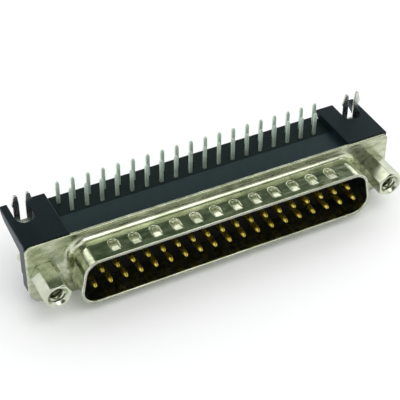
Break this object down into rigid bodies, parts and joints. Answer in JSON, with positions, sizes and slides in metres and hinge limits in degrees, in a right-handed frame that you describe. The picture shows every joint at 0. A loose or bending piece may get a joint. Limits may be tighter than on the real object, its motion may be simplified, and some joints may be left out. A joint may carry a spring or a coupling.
{
  "type": "right-angle d-sub connector",
  "caption": "Right-angle D-shaped plug for a printed board: metal shell with grounding dimples, bent contact tails, barbed board locks and hexagonal jackscrews.",
  "frame": {"origin": "centre of the D on the front face of the metal flange", "axes": "+X along the connector's length, -Y out of the mating face, +Z from the pins to the printed board"},
  "size_m": [0.0694, 0.0179, 0.017],
  "materials": {
    "plated_shell": "satin nickel plate on drawn steel",
    "black_plastic": "smooth moulded, slightly glossy",
    "tinned_strip": "bright tin plate on bronze strip",
    "plated_screw": "bright nickel plate on turned brass",
    "plated_contact": "gold on the pin, tin on the tail"
  },
  "bodies": {
    "root": {"front_shell": "plated_shell", "front_insulator": "black_plastic", "rear_insulator": "black_plastic", "bracket": "black_plastic", "tail_spacer": "black_plastic", "board_lock_left": "tinned_strip", "board_lock_right": "tinned_strip", "jackscrew_left": "plated_screw", "jackscrew_right": "plated_screw", "jackscrew_nut_left": "plated_screw", "jackscrew_nut_right": "plated_screw", "contact_short_01": "plated_contact", "contact_short_02": "plated_contact", "contact_short_03": "plated_contact", "contact_short_04": "plated_contact", "contact_short_05": "plated_contact", "contact_short_06": "plated_contact", "contact_short_07": "plated_contact", "contact_short_08": "plated_contact", "contact_short_09": "plated_contact", "contact_short_10": "plated_contact", "contact_short_11": "plated_contact", "contact_short_12": "plated_contact", "contact_short_13": "plated_contact", "contact_short_14": "plated_contact", "contact_short_15": "plated_contact", "contact_short_16": "plated_contact", "contact_short_17": "plated_contact", "contact_short_18": "plated_contact", "contact_long_01": "plated_contact", "contact_long_02": "plated_contact", "contact_long_03": "plated_contact", "contact_long_04": "plated_contact", "contact_long_05": "plated_contact", "contact_long_06": "plated_contact", "contact_long_07": "plated_contact", "contact_long_08": "plated_contact", "contact_long_09": "plated_contact", "contact_long_10": "plated_contact", "contact_long_11": "plated_contact", "contact_long_12": "plated_contact", "contact_long_13": "plated_contact", "contact_long_14": "plated_contact", "contact_long_15": "plated_contact", "contact_long_16": "plated_contact", "contact_long_17": "plated_contact", "contact_long_18": "plated_contact", "contact_long_19": "plated_contact"}
  },
  "joints": []
}
